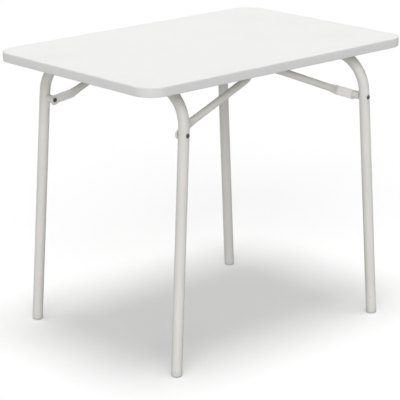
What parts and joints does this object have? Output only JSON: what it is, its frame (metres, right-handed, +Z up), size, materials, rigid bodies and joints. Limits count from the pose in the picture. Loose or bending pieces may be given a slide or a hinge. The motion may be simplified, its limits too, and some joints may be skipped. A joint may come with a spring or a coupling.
{
  "type": "folding children's table",
  "caption": "Small rectangular table with a white top on folding U-shaped tube legs, each frame held open by a hooked tube brace.",
  "frame": {"origin": "on the floor under the middle of the top", "axes": "+X along the top's long side, +Y along its short side, +Z up"},
  "size_m": [0.6, 0.4066, 0.5],
  "materials": {
    "board": "fibre board with a white satin laminate",
    "trim": "satin extruded plastic edge band",
    "tube_paint": "off-white powder coat on steel tube",
    "cap_plastic": "pale grey moulded plastic",
    "zinc": "zinc-plated pressed sheet",
    "steel": "dull plated steel screws",
    "rivet_steel": "blackened steel rivets"
  },
  "bodies": {
    "table_top": {"tabletop_board": "board", "edge_trim": "trim", "left_outer_saddle": "zinc", "left_outer_hook": "zinc", "left_outer_saddle_inboard_screw": "steel", "left_outer_saddle_outboard_screw": "steel", "left_outer_hook_first_screw": "steel", "left_outer_hook_second_screw": "steel", "left_inner_saddle": "zinc", "left_inner_hook": "zinc", "left_inner_saddle_inboard_screw": "steel", "left_inner_saddle_outboard_screw": "steel", "left_inner_hook_first_screw": "steel", "left_inner_hook_second_screw": "steel", "right_outer_saddle": "zinc", "right_outer_hook": "zinc", "right_outer_saddle_inboard_screw": "steel", "right_outer_saddle_outboard_screw": "steel", "right_outer_hook_first_screw": "steel", "right_outer_hook_second_screw": "steel", "right_inner_saddle": "zinc", "right_inner_hook": "zinc", "right_inner_saddle_inboard_screw": "steel", "right_inner_saddle_outboard_screw": "steel", "right_inner_hook_first_screw": "steel", "right_inner_hook_second_screw": "steel"},
    "left_legs": {"left_leg_frame": "tube_paint", "left_outer_foot_cap": "cap_plastic", "left_inner_foot_cap": "cap_plastic", "left_outer_rivet": "rivet_steel", "left_inner_rivet": "rivet_steel", "left_spacer_bush": "tube_paint", "left_washer": "zinc"},
    "left_brace": {"left_brace": "tube_paint"},
    "right_legs": {"right_leg_frame": "tube_paint", "right_outer_foot_cap": "cap_plastic", "right_inner_foot_cap": "cap_plastic", "right_outer_rivet": "rivet_steel", "right_inner_rivet": "rivet_steel", "right_spacer_bush": "tube_paint", "right_washer": "zinc"},
    "right_brace": {"right_brace": "tube_paint"}
  },
  "joints": [
    {"name": "left_leg_fold", "type": "hinge", "parent": "table_top", "child": "left_legs", "pos_m": [-0.19787, 0.01025, 0.474], "axis": [0.014, -0.9999, 0], "range_deg": [0, 81]},
    {"name": "right_leg_fold", "type": "hinge", "parent": "table_top", "child": "right_legs", "pos_m": [0.19787, -0.01025, 0.474], "axis": [-0.014, 0.9999, 0], "range_deg": [0, 81]},
    {"name": "left_brace_swing", "type": "hinge", "parent": "left_legs", "child": "left_brace", "pos_m": [-0.20217, -0.00006, 0.4049], "axis": [0.014, -0.9999, 0], "range_deg": [-107, 0]},
    {"name": "right_brace_swing", "type": "hinge", "parent": "right_legs", "child": "right_brace", "pos_m": [0.20217, 0.00006, 0.4049], "axis": [-0.014, 0.9999, 0], "range_deg": [-125, 0]}
  ],
  "couplings": [
    {"joint": "left_brace_swing", "follows": "left_leg_fold", "ratio": -1.3145},
    {"joint": "right_brace_swing", "follows": "right_leg_fold", "ratio": -1.5367}
  ]
}
